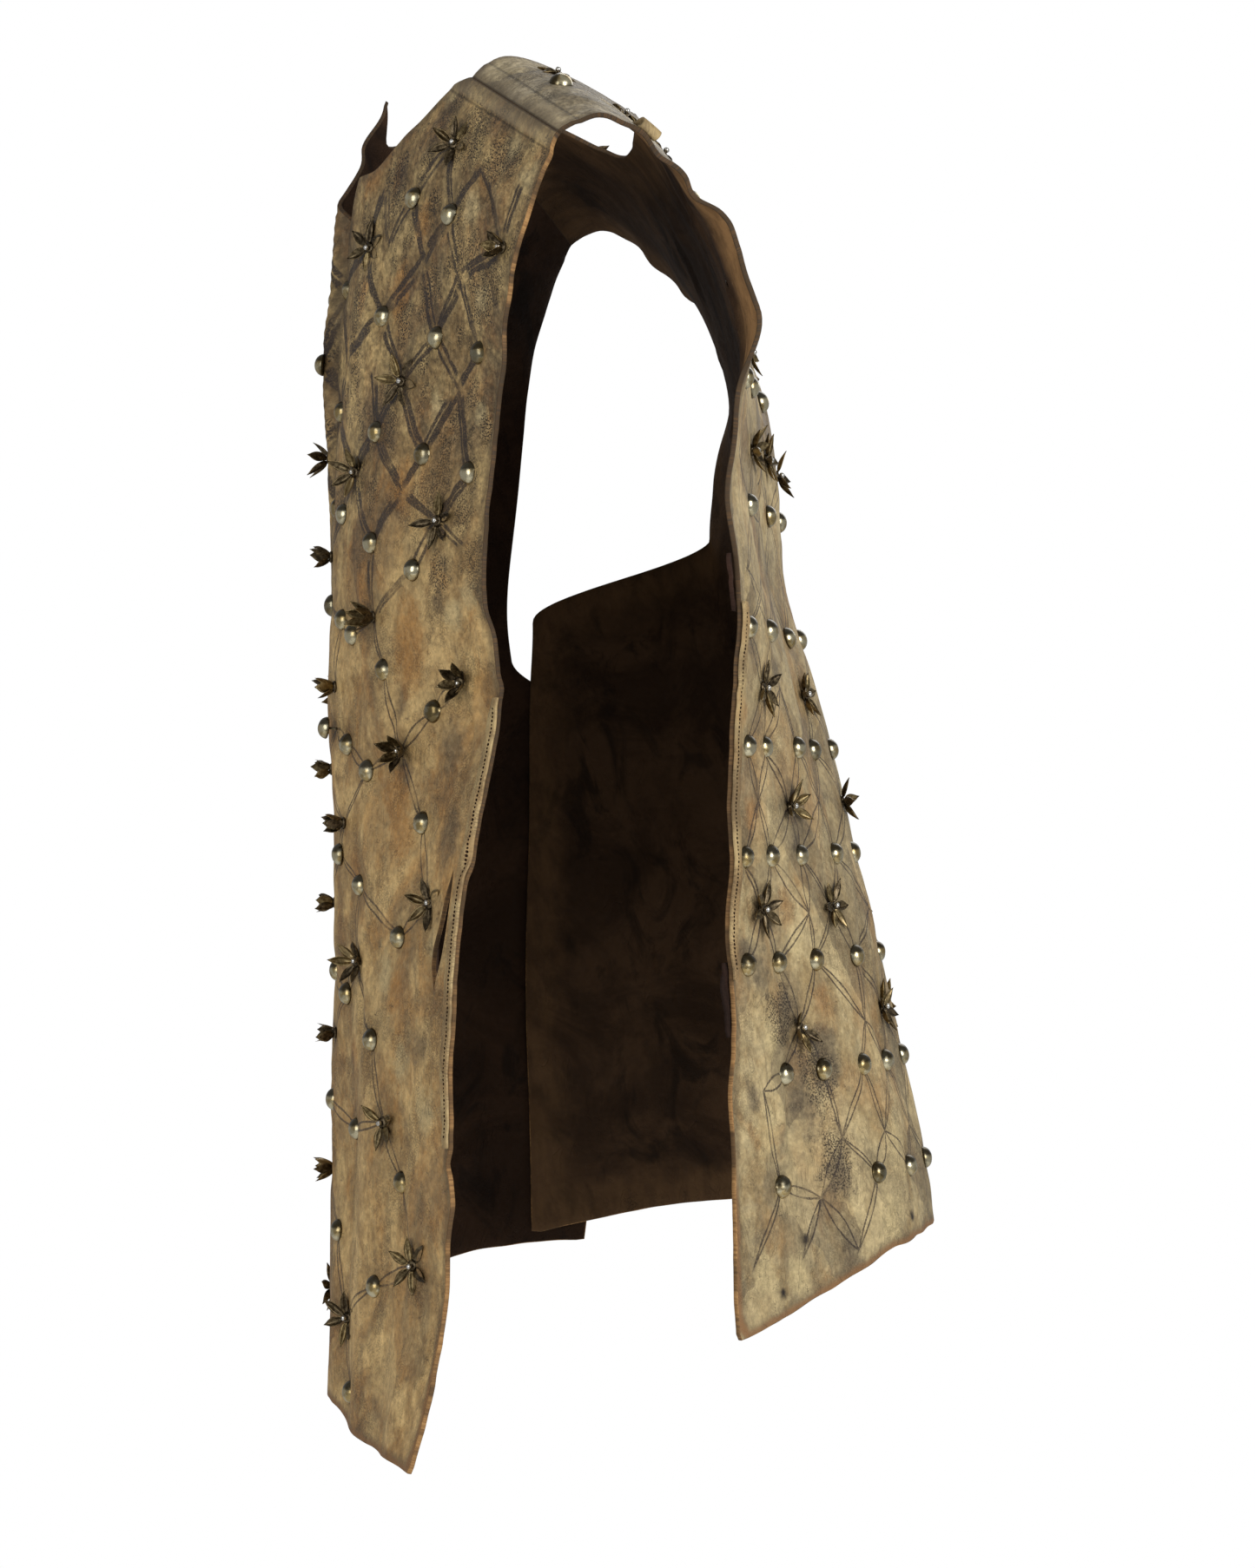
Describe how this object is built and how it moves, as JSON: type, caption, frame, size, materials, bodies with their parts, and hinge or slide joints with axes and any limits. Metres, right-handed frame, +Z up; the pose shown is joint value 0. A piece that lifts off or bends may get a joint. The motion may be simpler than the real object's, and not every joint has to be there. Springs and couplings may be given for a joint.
{
  "type": "studded leather tunic",
  "caption": "Sleeveless leather tunic in worn shape, open down one side, with domed metal studs and metal flowers over hand-inked lattice lines.",
  "frame": {"origin": "midway between the wearer's shoulders, at the height where the shoulders carry the leather", "axes": "+X towards the wearer's left, -Y towards the wearer's front, +Z up"},
  "size_m": [0.4111, 0.3978, 0.8394],
  "materials": {
    "leather": "aged olive-tan suede-grained hide with dark sooty shading and inked lattice lines",
    "strip": "pale tan folded edge strip with a row of lacing holes",
    "suede": "dark brown napped flesh side",
    "studs": "antiqued silver-brass dome, worn bright on top",
    "flowers": "dark aged brass petals with worn edges"
  },
  "bodies": {
    "root": {"front_panel": "leather", "back_panel": "leather", "front_side_strip": "strip", "back_side_strip": "strip", "side_tie": "suede", "torn_scrap": "suede", "shoulder_tab": "strip"}
  },
  "joints": []
}
